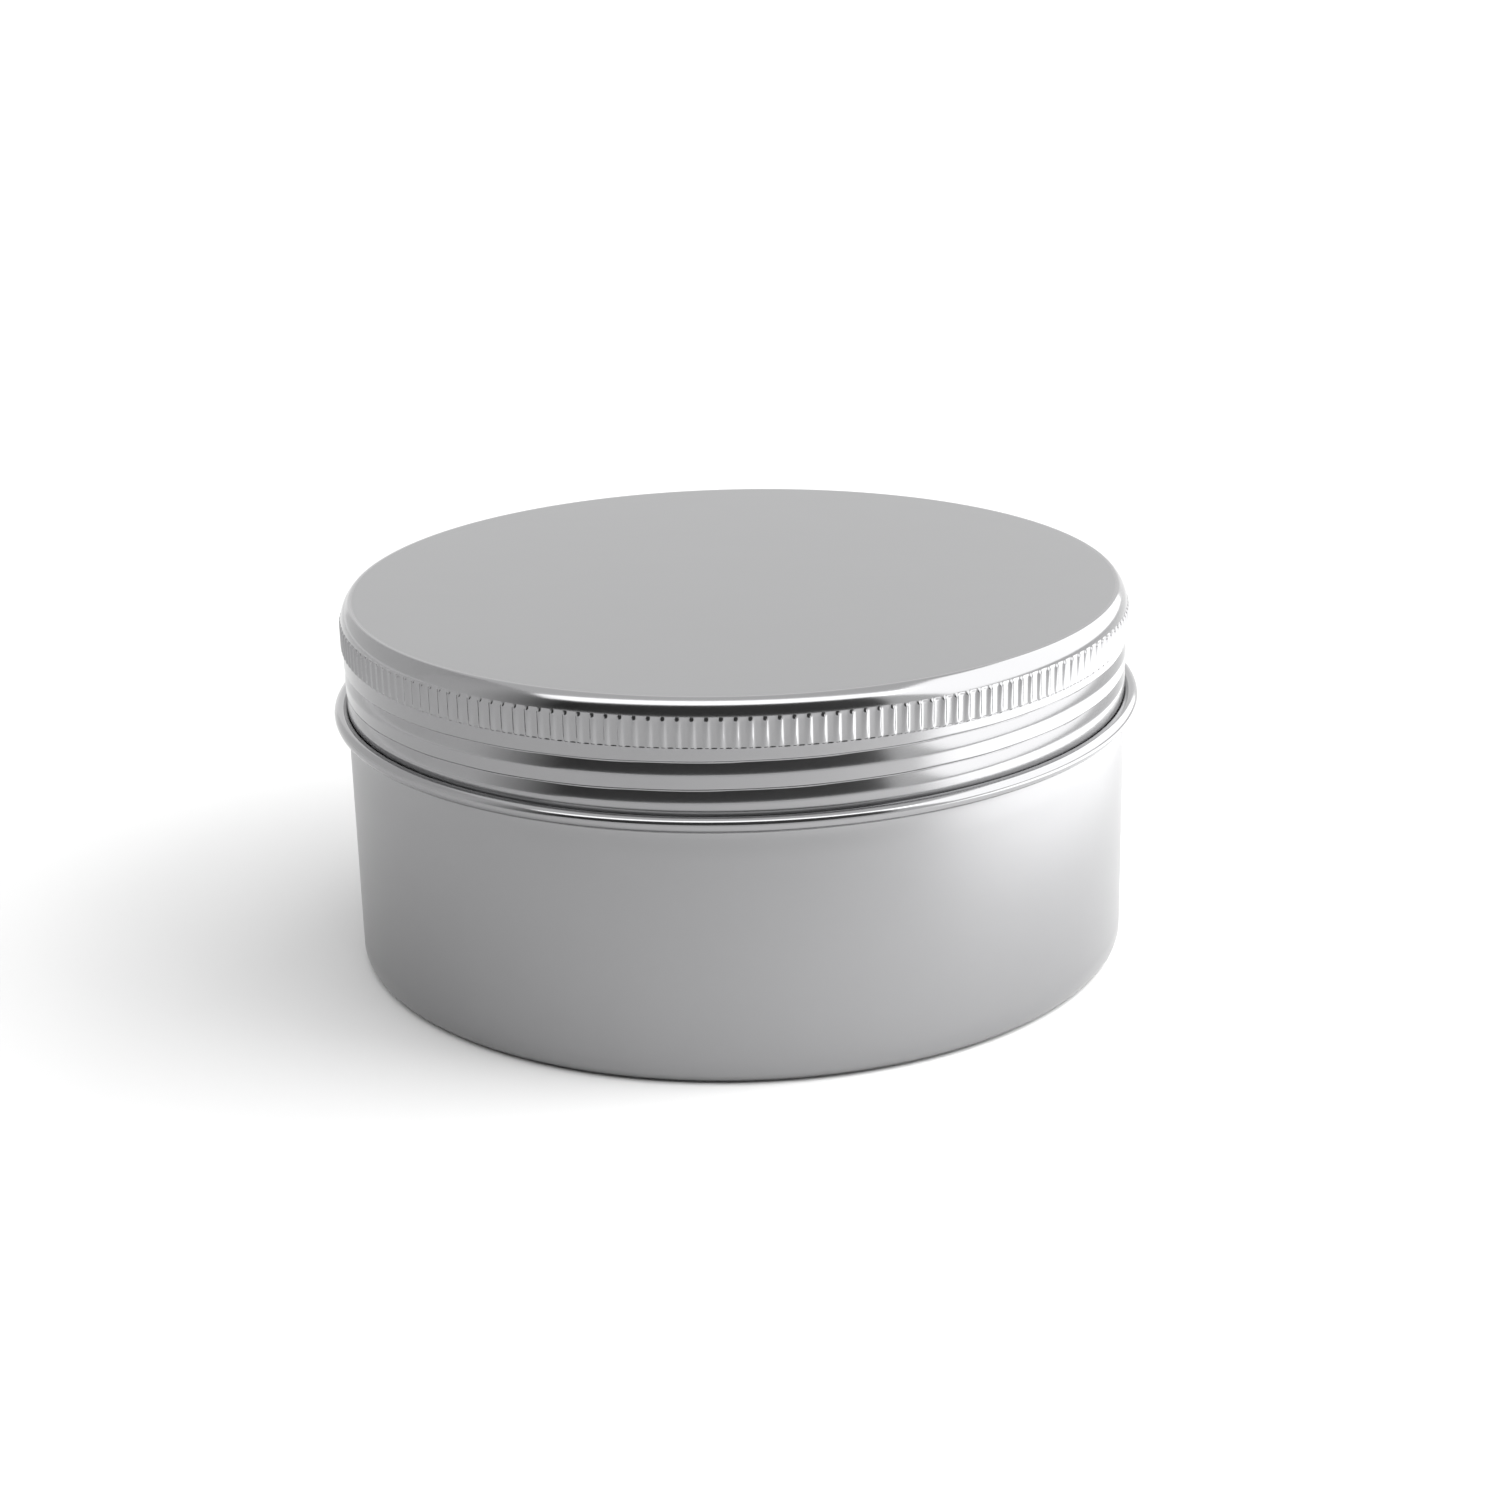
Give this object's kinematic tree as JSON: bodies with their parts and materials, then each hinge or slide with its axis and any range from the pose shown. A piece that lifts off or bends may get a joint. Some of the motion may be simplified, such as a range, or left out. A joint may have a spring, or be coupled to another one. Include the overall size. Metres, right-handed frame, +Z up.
{
  "type": "candle tin",
  "caption": "Round shallow aluminium tin with a screw-on lid, a ribbed grip band, a rolled bead and a foam lid liner, for pouring and storing a container candle.",
  "frame": {"origin": "centre of the base, on the surface that the tin stands on", "axes": "+Z up along the tin's own axis, which the lid turns about and rises along"},
  "size_m": [0.1028, 0.1028, 0.047],
  "materials": {
    "tin_aluminium": "satin, with a faint drawn grain",
    "lid_aluminium": "satin top with brighter burnished rolled edges",
    "liner_foam": "matt closed-cell polyethylene foam"
  },
  "bodies": {
    "tin": {"tin_body": "tin_aluminium"},
    "liner": {"lid_liner": "liner_foam"},
    "lid": {"screw_lid": "lid_aluminium"}
  },
  "joints": [
    {"name": "lid_rise", "type": "slide", "parent": "tin", "child": "liner", "axis": [0, 0, 1], "range_m": [0, 0.0469]},
    {"name": "lid_turn", "type": "hinge", "parent": "liner", "child": "lid", "pos_m": [0, 0, 0.0333], "axis": [0, 0, 1], "range_deg": [0, 5040]}
  ],
  "couplings": [
    {"joint": "lid_rise", "follows": "lid_turn", "m_per_rad": 0.00053317}
  ]
}
